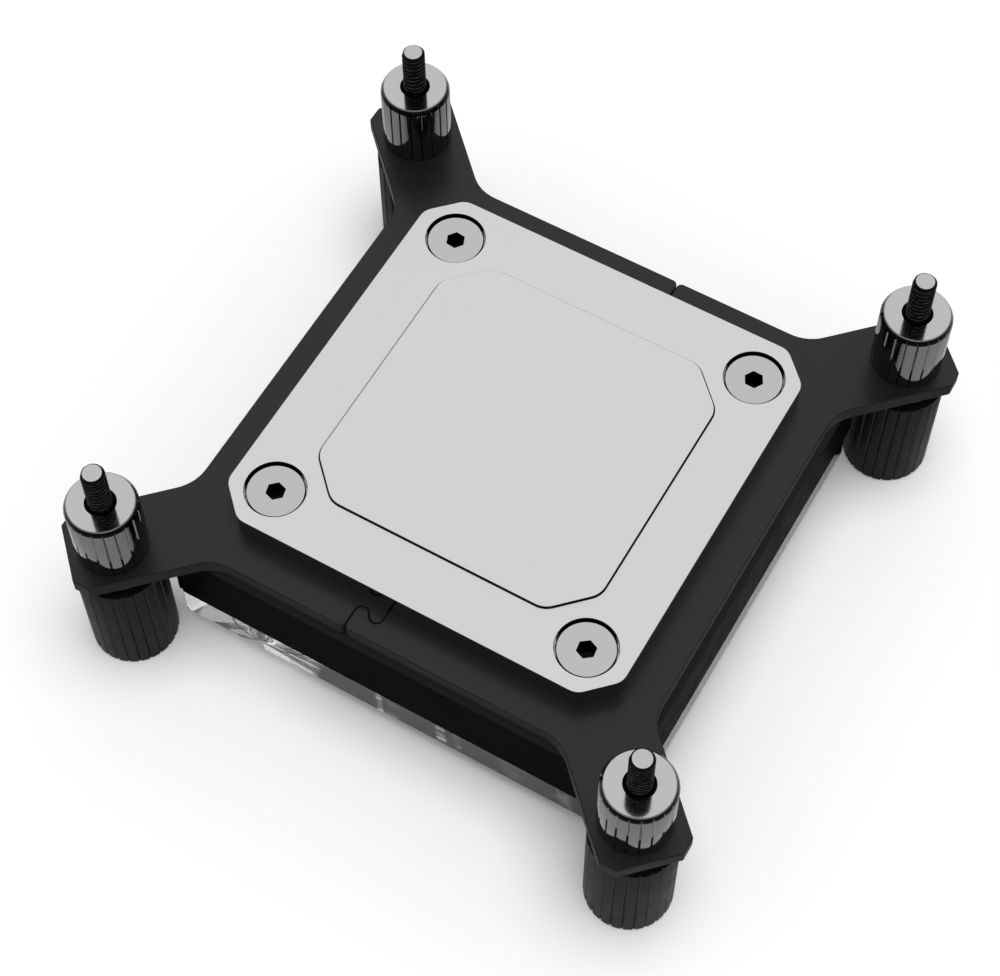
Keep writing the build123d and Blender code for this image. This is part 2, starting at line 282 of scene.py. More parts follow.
def tone_group(name):
    """Uneven tone: a colour that a mask makes a little lighter or darker."""
    tree, source, sink = group_tree(
        name,
        [("Colour", "NodeSocketColor", (0.5, 0.5, 0.5, 1)), ("Mask", "NodeSocketFloat", 0.5),
         ("Amount", "NodeSocketFloat", 0.1)],
        [("Colour", "NodeSocketColor")])
    calc = Calc(tree)
    centred = calc.math("SUBTRACT", source.outputs["Mask"], 0.5)
    gain = calc.math("MULTIPLY_ADD", centred, source.outputs["Amount"], 1.0)
    scaled = calc.node("ShaderNodeVectorMath")
    scaled.operation = "SCALE"
    calc.link(source.outputs["Colour"], scaled.inputs[0])
    calc.link(gain, scaled.inputs["Scale"])
    calc.link(scaled.outputs[0], sink.inputs["Colour"])
    return tree


def polish_group(name):
    """Uneven polish: a roughness between two values, driven by a mask."""
    tree, source, sink = group_tree(
        name,
        [("Mask", "NodeSocketFloat", 0.5), ("Smooth", "NodeSocketFloat", 0.2),
         ("Rough", "NodeSocketFloat", 0.4)],
        [("Roughness", "NodeSocketFloat")])
    mask, smooth, rough = (source.outputs[label] for label in ("Mask", "Smooth", "Rough"))
    calc = Calc(tree)
    calc.link(calc.ramp(mask, *NOISE_SPAN, smooth, rough), sink.inputs["Roughness"])
    return tree


# Painted glints that glow as bars on the flange's seat: middle and reach in millimetres along the front, and
# strength
GLINT_BARS = (
    (-3.9, 0.6, 0.75), (-1.9, 1.3, 0.16), (5.9, 1.0, 0.5), (8.6, 0.8, 0.16), (17.1, 2.0, 0.1),
    (24.7, 1.8, 0.1))
BAR_LEVEL = 24.35 * MM  # how far to the front the middles of the bars are given
BAR_SLANT = 0.25
BAR_CORE = 0.5  # the part of its reach over which a bar has its full strength
LEFT_END = (-13 * MM, -15 * MM)  # from here to here the bars give way to facets
FACETS = (260.0, 90.0)  # how many to a metre, along the front and across
FACET_CHANCE = (0.1, 0.7)
FACET_LIGHT = (0.1, 1.0)
RING_MIDDLE = (-22.6 * MM, -19.6 * MM)
RING_RADIUS = 6.1 * MM
RING_HALF_WIDTH = 0.2 * MM
FRONT_STRIP = -17 * MM  # the painted glints lie in front of this line


def painted_glints_group(name):
    """Painted reflections: light bars and facets that glow on the black seat, as the inside of a clear flange
    shows them.
    """
    tree, source, sink = group_tree(
        name,
        [("Vector", "NodeSocketVector", None), ("Dark", "NodeSocketFloat", 0.0),
         ("Light", "NodeSocketFloat", 0.9)],
        [("Colour", "NodeSocketColor")])
    calc = Calc(tree)
    spot = calc.node("ShaderNodeSeparateXYZ", Vector=source.outputs["Vector"])
    x, y = spot.outputs["X"], spot.outputs["Y"]
    slanted = calc.math("ADD", x, calc.math("MULTIPLY", calc.math("ADD", y, BAR_LEVEL), BAR_SLANT))
    bars = []
    for middle, reach, strength in GLINT_BARS:
        apart = calc.math("ABSOLUTE", calc.math("SUBTRACT", slanted, middle * MM))
        bars.append(calc.ramp(apart, BAR_CORE * reach * MM, reach * MM, strength, 0.0))
    stretched = calc.node(
        "ShaderNodeCombineXYZ", X=calc.math("MULTIPLY", slanted, FACETS[0]),
        Y=calc.math("MULTIPLY", y, FACETS[1]))
    cells = calc.node("ShaderNodeTexVoronoi", Vector=stretched.outputs[0], Scale=1.0)
    chance = calc.node("ShaderNodeSeparateXYZ", Vector=cells.outputs["Color"]).outputs["X"]
    facets = calc.ramp(chance, *FACET_CHANCE, *FACET_LIGHT)
    mixed = calc.node("ShaderNodeMix", Factor=calc.ramp(x, *LEFT_END, 0.0, 1.0), A=calc.add(*bars), B=facets)
    steps = [calc.math("SUBTRACT", place, middle) for place, middle in zip((x, y), RING_MIDDLE)]
    from_ring = calc.math("ABSOLUTE", calc.math("SUBTRACT", calc.reach(*steps), RING_RADIUS))
    off_ring = calc.math("GREATER_THAN", from_ring, RING_HALF_WIDTH)
    front = calc.math("LESS_THAN", y, FRONT_STRIP)
    glint = calc.math("MULTIPLY", calc.math("MULTIPLY", mixed.outputs["Result"], off_ring), front)
    value = calc.math("MULTIPLY_ADD", glint, source.outputs["Light"], source.outputs["Dark"])
    calc.link(value, sink.inputs["Colour"])
    return tree


GROUP_MAKERS = {
    "Fine Grain": grain_group, "Uneven Tone": tone_group, "Uneven Polish": polish_group,
    "Painted Flange Glints": painted_glints_group,
}


def shared(name):
    """The shared node group of a name, built on first use."""
    return bpy.data.node_groups.get(name) or GROUP_MAKERS[name](name)


METAL = {"Metallic": 1.0}
BUMP_DEPTH = 0.02 * MM

# Polish is the least and the greatest roughness, and surface is what the shader takes as it is.
FINISHES = {
    "blasted_nickel": dict(
        colour="plate_nickel", polish=(0.3, 0.32), grain=9000, bump=0.04, uneven=0.015, surface=METAL),
    "faced_nickel": dict(
        colour="bright_nickel", polish=(0.09, 0.12), grain=4000, bump=0.02, uneven=0.03, surface=METAL),
    "bright_nickel": dict(
        colour="bright_nickel", polish=(0.05, 0.09), grain=4000, bump=0.02, uneven=0.04, surface=METAL),
    # Painted shade: the plate's rounded edges and upright walls
    "shaded_edge_nickel": dict(
        colour="shaded_edge_nickel", polish=(0.15, 0.25), grain=4000, bump=0.02, uneven=0.1, surface=METAL),
    "shaded_wall_nickel": dict(
        colour="shaded_wall_nickel", polish=(0.05, 0.09), grain=4000, bump=0.02, uneven=0.04, surface=METAL),
    # Painted highlight on the crests: a strong uneven tone makes light spots
    "crest_glint": dict(
        colour="crest_glint", polish=(0.15, 0.25), grain=24000, bump=0.02, uneven=5.0, surface=METAL),
    # Painted shade: the collars' sides
    "shaded_side_nickel": dict(
        colour="shaded_side_nickel", polish=(0.05, 0.1), grain=4000, bump=0.02, uneven=0.08, surface=METAL),
    # Painted shade: chamfers, sockets and screw sides
    "black_shade_nickel": dict(
        colour="black_shade_nickel", polish=(0.06, 0.12), grain=4000, bump=0.02, uneven=0.15, surface=METAL),
    "black_anodised": dict(
        colour="bracket_black", polish=(0.24, 0.3), grain=7000, bump=0.08, uneven=0.1,
        surface={"Specular IOR Level": 0.37}),
    # Painted shade: the bracket's sides and rounded edges
    "side_light_and_shade": dict(
        colour="side_light_and_shade", polish=(0.42, 0.5), grain=7000, bump=0.1, uneven=0.1,
        surface={"Specular IOR Level": 0.03}),
    "nut_black": dict(
        colour="nut_black", polish=(0.36, 0.46), grain=6000, bump=0.12, uneven=0.12,
        surface={"Specular IOR Level": 0.07}),
    "washer_black": dict(
        colour="nut_black", polish=(0.2, 0.3), grain=4000, bump=0.06, uneven=0.12,
        surface={"Specular IOR Level": 0.25}),
    "moulded_black": dict(
        colour="frame_black", polish=(0.35, 0.45), grain=5000, bump=0.05, uneven=0.15,
        surface={"Specular IOR Level": 0.002}),
    # Painted light: the frame's faces that lean up are lighter
    "lit_moulded_bevel": dict(
        colour="side_light_and_shade", polish=(0.35, 0.45), grain=5000, bump=0.05, uneven=0.15,
        surface={"Specular IOR Level": 0.01}),
    "shadow_line": dict(
        colour="frame_black", polish=(0.4, 0.5), grain=5000, bump=0.02, uneven=0.1,
        surface={"Specular IOR Level": 0.02}),
    # Black seat that glows with painted glints, in place of reflections from inside the clear flange
    "black_seat_painted_glints": dict(
        colour="frame_black", polish=(0.5, 0.6), grain=5000, bump=0.05, uneven=0.1,
        surface={"Specular IOR Level": 0.0, "IOR": 1.0, "Emission Strength": 1.0}, painted_glints=True),
    "polished_acrylic": dict(
        colour="clear_tint", polish=(0.0, 0.02), grain=800, bump=0.01, uneven=0.01,
        surface={"Transmission Weight": 1.0, "IOR": 1.49, "Specular Tint": (0.05, 0.05, 0.05, 1)}),
    "jet_steel": dict(
        colour="jet_steel", polish=(0.22, 0.34), grain=5000, bump=0.1, uneven=0.1, surface=METAL),
    "seal_black": dict(
        colour="seal_black", polish=(0.5, 0.65), grain=5000, bump=0.2, uneven=0.2,
        surface={"Specular IOR Level": 0.4}),
}


def finish(name, colour, polish, grain, bump, uneven, surface, painted_glints=False):
    """A material with grain, uneven tone and uneven polish on the piece's own coordinates."""
    made = bpy.data.materials.new(name)
    made.use_nodes = True
    shader = made.node_tree.nodes["Principled BSDF"]
    for label, value in surface.items():
        shader.inputs[label].default_value = value
    calc = Calc(made.node_tree)
    place = calc.node("ShaderNodeTexCoord").outputs["Object"]
    texture = calc.group("Fine Grain", Vector=place, Size=grain)
    mask = texture.outputs["Mask"]
    tone = calc.group("Uneven Tone", Colour=(*colour, 1), Mask=mask, Amount=uneven)
    gloss = calc.group("Uneven Polish", Mask=mask, Smooth=polish[0], Rough=polish[1])
    relief = calc.node("ShaderNodeBump", Height=texture.outputs["Height"], Strength=bump, Distance=BUMP_DEPTH)
    calc.link(tone.outputs["Colour"], shader.inputs["Base Color"])
    calc.link(gloss.outputs["Roughness"], shader.inputs["Roughness"])
    calc.link(relief.outputs["Normal"], shader.inputs["Normal"])
    # Painted glints: light bars and facets that glow on the seat
    if painted_glints:
        glints = calc.group("Painted Flange Glints", Vector=place)
        calc.link(glints.outputs["Colour"], shader.inputs["Emission Color"])
    return made


def material(name):
    """The finish of a name, built on first use."""
    found = bpy.data.materials.get(name)
    if found:
        return found
    values = dict(FINISHES[name])
    colour = getattr(bpy.context.scene.block_colours, values.pop("colour"))
    return finish(name, colour, **values)


def shape_tree(name, sizes):
    """A geometry tree with named inputs for its sizes, its centre and its three materials."""
    tree = bpy.data.node_groups.new(name, "GeometryNodeTree")
    for label, value in sizes:
        kind = "NodeSocketInt" if isinstance(value, int) else "NodeSocketFloat"
        tree.interface.new_socket(label, in_out="INPUT", socket_type=kind).default_value = value
    tree.interface.new_socket("Centre", in_out="INPUT", socket_type="NodeSocketVector")
    for label in ("Side Material", "Edge Material", "Top Material"):
        tree.interface.new_socket(label, in_out="INPUT", socket_type="NodeSocketMaterial")
    tree.interface.new_socket("Geometry", in_out="OUTPUT", socket_type="NodeSocketGeometry")
    return tree, tree.nodes.new("NodeGroupInput"), tree.nodes.new("NodeGroupOutput")


def grid_steps(calc, across, along):
    """A grid of one unit round the origin, with the whole-number place of its points both ways."""
    grid = calc.node("GeometryNodeMeshGrid", Size_X=1.0, Size_Y=1.0)
    calc.link(calc.math("ADD", across, 1.0), grid.inputs["Vertices X"])
    calc.link(along, grid.inputs["Vertices Y"])
    where = calc.node("ShaderNodeSeparateXYZ", Vector=calc.node("GeometryNodeInputPosition").outputs[0])
    turn_step = calc.math("ROUND", calc.math("MULTIPLY", calc.math("ADD", where.outputs["X"], 0.5), across))
    last = calc.math("SUBTRACT", along, 1.0)
    row = calc.math("ROUND", calc.math("MULTIPLY", calc.math("ADD", where.outputs["Y"], 0.5), last))
    return grid.outputs["Mesh"], turn_step, row


EDGE_LEAN = 0.12  # what leans up by more than this on a turned piece has the Edge Material
RIM_LEAN = sin(pi / 4)  # but a rim at 45 degrees hasn't
RIM_SPREAD = 0.05  # give or take this much


def wrap_round(calc, mesh, radius, angle, height, source, sink, top_level, crest=None):
    """Puts a grid's points on a turned body, closes it, shades it and gives it its materials.

    With a crest radius, the Edge Material goes on what stands further out than that instead. The Top Material
    goes on what is flat and at the top.
    """
    spot = calc.node(
        "ShaderNodeCombineXYZ", X=calc.math("MULTIPLY", radius, calc.math("COSINE", angle)),
        Y=calc.math("MULTIPLY", radius, calc.math("SINE", angle)), Z=height)
    placed = calc.node("ShaderNodeVectorMath")
    placed.operation = "ADD"
    calc.link(spot.outputs[0], placed.inputs[0])
    calc.link(source.outputs["Centre"], placed.inputs[1])
    moved = calc.node("GeometryNodeSetPosition", Geometry=mesh, Position=placed.outputs[0])
    closed = calc.node("GeometryNodeMergeByDistance", Geometry=moved.outputs[0], Distance=MERGE)
    smooth = calc.node("GeometryNodeSetShadeSmooth", Geometry=closed.outputs[0], Shade_Smooth=True)
    bend = calc.node("GeometryNodeInputMeshEdgeAngle").outputs[0]
    sharp = calc.node("GeometryNodeSetShadeSmooth", Geometry=smooth.outputs[0], Shade_Smooth=False)
    sharp.domain = "EDGE"
    calc.link(calc.math("GREATER_THAN", bend, TURNED_CREASE), sharp.inputs["Selection"])
    real = calc.node("GeometryNodeRealizeInstances", Geometry=sharp.outputs[0])
    facing = calc.node("ShaderNodeSeparateXYZ", Vector=calc.node("GeometryNodeInputNormal").outputs[0])
    lean = facing.outputs["Z"]
    centre = calc.node("ShaderNodeSeparateXYZ", Vector=source.outputs["Centre"])
    where = calc.node("ShaderNodeSeparateXYZ", Vector=calc.node("GeometryNodeInputPosition").outputs[0])
    if crest is None:
        rim = calc.math("COMPARE", lean, RIM_LEAN, RIM_SPREAD)
        on_edge = calc.math("SUBTRACT", calc.math("GREATER_THAN", lean, EDGE_LEAN), rim)
    else:
        steps = [calc.math("SUBTRACT", where.outputs[axis], centre.outputs[axis]) for axis in "XY"]
        on_edge = calc.math("GREATER_THAN", calc.reach(*steps), crest)
    level = calc.math("SUBTRACT", calc.math("ADD", centre.outputs["Z"], top_level), NEAR)
    at_top = calc.math("GREATER_THAN", where.outputs["Z"], level)
    on_top = calc.math("MULTIPLY", at_top, calc.math("GREATER_THAN", lean, FACES_UP))
    # On the collars and screws the side and edge finishes are darker copies of the top's nickel, so this
    # choice by lean paints their shade
    shape = calc.node(
        "GeometryNodeSetMaterial", Geometry=real.outputs[0], Material=source.outputs["Side Material"])
    for chosen, label in ((on_edge, "Edge Material"), (on_top, "Top Material")):
        shape = calc.node(
            "GeometryNodeSetMaterial", Geometry=shape.outputs[0], Selection=chosen,
            Material=source.outputs[label])
    calc.link(shape.outputs[0], sink.inputs["Geometry"])


FAR_LIP = 2  # in a groove's pitch, point 0 is the near lip, point 1 the bottom and this the far lip
HAIR = 0.001  # keeps a whole number from being rounded down
SAME = 0.1  # whole numbers that differ by less are the same
SECTOR = pi / 3  # of a hexagon


def turned_tree(name, sizes, rings, steps, top_level):
    """A body turned on a lathe, grooved or hexagonal where its rings say so.

    A ring is (radius terms, height terms, kind). Terms name inputs, with a minus sign to take one away. Steps
    is how many points the pitch of a groove has.
    """
    tree, source, sink = shape_tree(name, sizes)
    calc = Calc(tree)

    def total(terms):
        """The sum of the inputs that the terms name."""
        value = 0.0
        for term in terms.split():
            label = term.lstrip("-").replace("_", " ")
            operation = "SUBTRACT" if term.startswith("-") else "ADD"
            value = calc.math(operation, value, source.outputs[label])
        return value

    grooves = source.outputs["Grooves"]
    across = calc.math("MULTIPLY", grooves, float(steps))
    mesh, turn_step, row = grid_steps(calc, across, len(rings))
    radius = calc.pick(row, [total(ring[0]) for ring in rings])
    height = calc.pick(row, [total(ring[1]) for ring in rings])
    grooved = calc.pick(row, [1.0 if ring[2] == "grooved" else 0.0 for ring in rings])
    hexed = calc.pick(row, [1.0 if ring[2] == "hexagon" else 0.0 for ring in rings])
    step = calc.math("MODULO", turn_step, float(steps))
    groove = calc.math("FLOOR", calc.math("DIVIDE", calc.math("ADD", turn_step, HAIR), float(steps)))
    pitch = calc.math("DIVIDE", 2 * pi, grooves)
    if steps > FAR_LIP:
        lip = calc.math(
            "DIVIDE", source.outputs["Groove Width"], calc.math("MULTIPLY", source.outputs["Radius"], 2.0))
        land = calc.math("SUBTRACT", pitch, calc.math("MULTIPLY", lip, 2.0))
        in_groove = calc.math("MULTIPLY", calc.math("SUBTRACT", step, 1.0), lip)
        share = calc.math(
            "DIVIDE", calc.math("SUBTRACT", step, float(FAR_LIP)), float(steps - FAR_LIP))
        on_land = calc.math("ADD", lip, calc.math("MULTIPLY", share, land))
        beyond = calc.math("GREATER_THAN", step, float(FAR_LIP))
        before = calc.math("SUBTRACT", 1.0, beyond)
        part = calc.add(calc.math("MULTIPLY", beyond, on_land), calc.math("MULTIPLY", before, in_groove))
        bottom = calc.math("MULTIPLY", calc.math("COMPARE", step, 1.0, SAME), grooved)
        radius = calc.math("SUBTRACT", radius, calc.math("MULTIPLY", bottom, source.outputs["Groove Depth"]))
    else:
        part = 0.0
    bare = calc.math("ADD", calc.math("MULTIPLY", groove, pitch), part)
    sector = calc.math("SUBTRACT", calc.math("FLOORED_MODULO", bare, SECTOR), SECTOR / 2)
    flats = calc.math("DIVIDE", cos(SECTOR / 2), calc.math("COSINE", sector))
    drawn_in = calc.math("MULTIPLY", hexed, calc.math("SUBTRACT", flats, 1.0))
    shaped = calc.math("MULTIPLY", radius, calc.math("ADD", 1.0, drawn_in))
    angle = calc.math("ADD", bare, source.outputs["Turn"])
    wrap_round(calc, mesh, shaped, angle, height, source, sink, source.outputs[top_level])
    return tree


THREAD_FLAT = 1.3  # more makes the thread's root wider and its flanks steeper
THREAD_ROUND = 0.2
CREST_SHARE = 0.15  # the outer part of the thread's depth that is its crest
OTHER_ROWS = 4  # the two that close the rod and the two of its plain part
HALF = 0.5  # rows are told apart at the halves between their numbers


def thread_tree(name):
    """A rod with a thread on its upper part and a broken tip.

    Row 0 closes the foot, rows 1 and 2 are the ends of the plain part, the others wind up to the tip, and the
    last one closes it.
    """
    sizes = (("Radius", 1.575 * MM), ("Length", 40.4 * MM), ("Thread Start", 30 * MM), ("Pitch", 0.5 * MM),
             ("Depth", 0.25 * MM), ("Tip Radius", 1.25 * MM), ("Around", 48), ("Rows Per Turn", 10))
    tree, source, sink = shape_tree(name, sizes)
    calc = Calc(tree)
    out = source.outputs
    rise = calc.math("DIVIDE", out["Pitch"], out["Rows Per Turn"])
    threaded = calc.math("SUBTRACT", out["Length"], out["Thread Start"])
    rows = calc.math("ADD", calc.math("CEIL", calc.math("DIVIDE", threaded, rise)), out["Rows Per Turn"])
    mesh, turn_step, row = grid_steps(calc, out["Around"], calc.math("ADD", rows, float(OTHER_ROWS)))
    turned = calc.math("DIVIDE", turn_step, out["Around"])
    bare = calc.math("MULTIPLY", turned, 2 * pi)
    behind = calc.math("MULTIPLY", calc.math("SUBTRACT", 1.0, turned), out["Rows Per Turn"])
    helix_row = calc.math("SUBTRACT", calc.math("SUBTRACT", row, 2.0), behind)
    climb = calc.math("MULTIPLY", helix_row, rise)
    above = calc.math("MINIMUM", calc.math("ADD", out["Thread Start"], calc.math("MAXIMUM", climb, 0.0)),
                      out["Length"])
    height = calc.math("MULTIPLY", above, calc.math("GREATER_THAN", row, 1 + HALF))
    turns = calc.math("DIVIDE", row, out["Rows Per Turn"])
    ridge = calc.math("PINGPONG", calc.math("MULTIPLY", turns, 2.0), 1.0)
    wave = calc.math("SMOOTH_MIN", calc.math("MULTIPLY", ridge, THREAD_FLAT), 1.0, THREAD_ROUND)
    wound = calc.math("GREATER_THAN", row, 2 + HALF)
    cut = calc.math("MULTIPLY", calc.math("MULTIPLY", wave, out["Depth"]), wound)
    crest = calc.math("SUBTRACT", out["Radius"], cut)
    tip = calc.math("ADD", out["Tip Radius"], calc.math("SUBTRACT", out["Length"], above))
    wall = calc.math("MINIMUM", crest, tip)
    last = calc.math("ADD", rows, OTHER_ROWS - 1 - HALF)
    open_rows = calc.math("MULTIPLY", calc.math("GREATER_THAN", row, HALF), calc.math("LESS_THAN", row, last))
    radius = calc.math("MULTIPLY", wall, open_rows)
    crest_radius = calc.math("SUBTRACT", out["Radius"], calc.math("MULTIPLY", out["Depth"], CREST_SHARE))
    wrap_round(calc, mesh, radius, bare, height, source, sink, out["Length"], crest_radius)
    return tree


# For each turned piece's tree: its inputs, rings, points in the pitch of a groove, and top level
TURNED = {
    "Grooved Nut": (
        (("Radius", 6 * MM), ("Height", 19.7 * MM), ("Bore Radius", 2.05 * MM), ("Foot Round", 0.25 * MM),
         ("Shoulder Height", 0.9 * MM), ("Shoulder Step", 0.5 * MM), ("Groove End", 0.45 * MM),
         ("Grooves", 24), ("Groove Width", 0.4 * MM), ("Groove Depth", 0.25 * MM), ("Turn", 0.0)),
        (("Bore_Radius", "", "round"), ("Radius -Foot_Round", "", "round"),
         ("Radius", "Foot_Round", "grooved"), ("Radius", "Height -Shoulder_Height", "grooved"),
         ("Radius -Groove_Depth", "Height -Groove_End", "round"),
         ("Radius -Shoulder_Step", "Height", "round"), ("Bore_Radius", "Height", "round"),
         ("Bore_Radius", "", "round")),
        8, "Height"),
    "Grooved Collar": (
        (("Radius", 4.9 * MM), ("Height", 10.7 * MM), ("Bore Radius", 1.72 * MM), ("Foot Round", 0.15 * MM),
         ("Chamfer Height", 0.8 * MM), ("Chamfer Step", 0.35 * MM), ("Rim", 0.14 * MM),
         ("Groove End", 0.37 * MM), ("Mouth Radius", 2.0 * MM), ("Mouth Depth", 1.6 * MM), ("Grooves", 20),
         ("Groove Width", 0.3 * MM), ("Groove Depth", 0.2 * MM), ("Turn", 0.0)),
        (("Bore_Radius", "", "round"), ("Radius -Foot_Round", "", "round"),
         ("Radius", "Foot_Round", "grooved"), ("Radius", "Height -Chamfer_Height", "grooved"),
         ("Radius -Groove_Depth", "Height -Groove_End", "round"),
         ("Radius -Chamfer_Step", "Height -Rim", "round"), ("Radius -Chamfer_Step -Rim", "Height", "round"),
         ("Mouth_Radius Rim", "Height", "round"), ("Mouth_Radius", "Height -Rim", "round"),
         ("Mouth_Radius", "Height -Mouth_Depth", "round"), ("Bore_Radius", "Height -Mouth_Depth", "round"),
         ("Bore_Radius", "", "round")),
        10, "Height"),
    "Flat Washer": (
        (("Radius", 5.35 * MM), ("Height", 1.5 * MM), ("Bore Radius", 1.775 * MM), ("Round", 0.2 * MM),
         ("Grooves", 96), ("Turn", 0.0)),
        (("Bore_Radius", "", "round"), ("Radius -Round", "", "round"), ("Radius", "Round", "round"),
         ("Radius", "Height -Round", "round"), ("Radius -Round", "Height", "round"),
         ("Bore_Radius", "Height", "round"), ("Bore_Radius", "", "round")),
        1, "Height"),
    "Low Head Screw": (
        (("Shank Radius", 2 * MM), ("Head Radius", 3.95 * MM), ("Length", 22 * MM), ("Under Head", 20 * MM),
         ("Head Edge", 0.12 * MM), ("Socket Radius", 1.36 * MM), ("Socket Lead", 0.03 * MM),
         ("Socket Depth", 1.6 * MM), ("End Step", 0.4 * MM), ("Grooves", 96), ("Turn", 0.0)),
        (("", "", "round"), ("Shank_Radius -End_Step", "", "round"), ("Shank_Radius", "End_Step", "round"),
         ("Shank_Radius", "Under_Head", "round"), ("Head_Radius -Head_Edge", "Under_Head", "round"),
         ("Head_Radius", "Under_Head Head_Edge", "round"), ("Head_Radius", "Length -Head_Edge", "round"),
         ("Head_Radius -Head_Edge", "Length", "round"), ("Socket_Radius Socket_Lead", "Length", "hexagon"),
         ("Socket_Radius", "Length -Socket_Lead", "hexagon"),
         ("Socket_Radius", "Length -Socket_Depth", "hexagon"), ("", "Length -Socket_Depth", "round")),
        1, "Length"),
}


def tree_for(name):
    """The geometry tree of a name, built on first use."""
    found = bpy.data.node_groups.get(name)
    if found:
        return found
    return turned_tree(name, *TURNED[name]) if name in TURNED else thread_tree(name)


def add_object(name, data):
    """A new object in the scene, with its mesh, lamp or camera."""
    made = bpy.data.objects.new(name, data)
    bpy.context.scene.collection.objects.link(made)
    return made


def grow(node, tree, values, side, edge, top):
    """Makes a piece from a geometry tree, as a plain mesh that stands for a CAD node."""
    low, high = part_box(node)
    wanted = dict(values, Centre=((low[0] + high[0]) / 2, (low[1] + high[1]) / 2, low[2]))
    for label, name in (("Side Material", side), ("Edge Material", edge), ("Top Material", top)):
        wanted[label] = material(name)
    piece = add_object(f"{node}_turned", bpy.data.meshes.new(f"{node}_seed"))
    shaper = piece.modifiers.new("Shape", "NODES")
    shaper.node_group = tree_for(tree)
    for item in shaper.node_group.interface.items_tree:
        if item.item_type == "SOCKET" and item.in_out == "INPUT" and item.name in wanted:
            shaper[item.identifier] = wanted[item.name]
    bpy.context.view_layer.update()
    ready = piece.evaluated_get(bpy.context.evaluated_depsgraph_get())
    mesh = bpy.data.meshes.new_from_object(ready)
    piece.modifiers.remove(shaper)
    piece.data = mesh
    mesh.name = f"{node}_turned"
    if len(mesh.polygons) == 0:
        raise RuntimeError(f"{node} came out empty")
    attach(piece, ROOT)
    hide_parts(node)
    return piece


def edge_broken(node, width, finishes, choose, segments=2, rounding=-1, root=None):
    """A merged copy of a CAD solid with rounded edges, which stands for it.

    Choose gives each face the number of its finish. The rounding has the finish of its own number, or that of
    the face beside it. The edges that root picks get a small fillet in the last finish instead.
    """
    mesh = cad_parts[node].data.copy()
    mesh.name = f"{node}_dressed"
    mesh.materials.clear()
    for name in finishes:
        mesh.materials.append(material(name))
    shell = bmesh.new()
    shell.from_mesh(mesh)
    bmesh.ops.remove_doubles(shell, verts=shell.verts, dist=MERGE)
    bmesh.ops.dissolve_limit(
        shell, angle_limit=FLAT_ANGLE, use_dissolve_boundaries=False, verts=shell.verts, edges=shell.edges)
    shell.normal_update()
    for face in shell.faces:
        face.smooth = True
        face.material_index = choose(face)
    weight = shell.edges.layers.float.new("bevel_weight_edge")
    line = [edge for edge in shell.edges if root and root(edge)]
    for edge in shell.edges:
        creased = edge.calc_face_angle(0) >= SOLID_CREASE
        edge.smooth = not creased
        if creased and edge not in line:
            edge[weight] = 1.0
    if line:
        bmesh.ops.bevel(
            shell, geom=line, offset=ROOT_FILLET, offset_type="OFFSET", segments=1, profile=0.5,
            affect="EDGES", material=len(finishes) - 1)
    shell.to_mesh(mesh)
    shell.free()
    piece = add_object(f"{node}_dressed", mesh)
    round_off = piece.modifiers.new("Broken Edges", "BEVEL")
    round_off.width = width
    round_off.segments = segments
    round_off.limit_method = "WEIGHT"
    round_off.harden_normals = True
    round_off.material = rounding
    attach(piece, ROOT)
    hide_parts(node)
    return piece


class BlockOperator:
    """What the operators share."""

    bl_options = {"REGISTER", "UNDO"}

    @classmethod
    def poll(cls, context):
        """Whether there is a scene to build in."""
        return context.scene is not None


class BLOCK_OT_studs(BlockOperator, Operator):
    """Make the four threaded studs"""

    bl_idname = "water_block.studs"
    bl_label = "Studs"

    def execute(self, context):
        sizes = context.scene.block_fasteners
        for number in CORNERS:
            node = f"stud_{number}"
            low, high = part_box(node)
            collar_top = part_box(f"collar_{number}")[1][2]
            values = {
                "Radius": sizes.stud_radius, "Length": high[2] - low[2],
                "Thread Start": collar_top - sizes.mouth_depth - low[2], "Pitch": sizes.thread_pitch,
                "Depth": sizes.thread_depth, "Tip Radius": sizes.stud_tip_radius,
            }
            # The thread's crests take the painted highlight
            piece = grow(node, "Threaded Stud", values, "shadow_line", "crest_glint", "faced_nickel")
        return {"FINISHED"}


class BLOCK_OT_nuts(BlockOperator, Operator):
    """Make the four grooved thumb nuts"""

    bl_idname = "water_block.nuts"
    bl_label = "Thumb Nuts"

    def execute(self, context):
        sizes = context.scene.block_fasteners
        for number, turn in zip(CORNERS, NUT_TURNS):
            node = f"thumb_nut_{number}"
            low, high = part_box(node)
            values = {
                "Height": high[2] - low[2], "Grooves": sizes.nut_grooves,
                "Groove Width": sizes.nut_groove_width, "Groove Depth": sizes.nut_groove_depth,
                "Turn": radians(turn),
            }
            # The nut's upward faces take the darker moulded black, as painted shade
            piece = grow(node, "Grooved Nut", values, "nut_black", "moulded_black", "moulded_black")
        return {"FINISHED"}


class BLOCK_OT_washers(BlockOperator, Operator):
    """Make the four washers"""

    bl_idname = "water_block.washers"
    bl_label = "Washers"

    def execute(self, context):
        for number in CORNERS:
            node = f"washer_{number}"
            low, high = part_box(node)
            values = {"Height": high[2] - low[2], "Radius": (high[0] - low[0]) / 2}
            piece = grow(node, "Flat Washer", values, "washer_black", "washer_black", "washer_black")
        return {"FINISHED"}


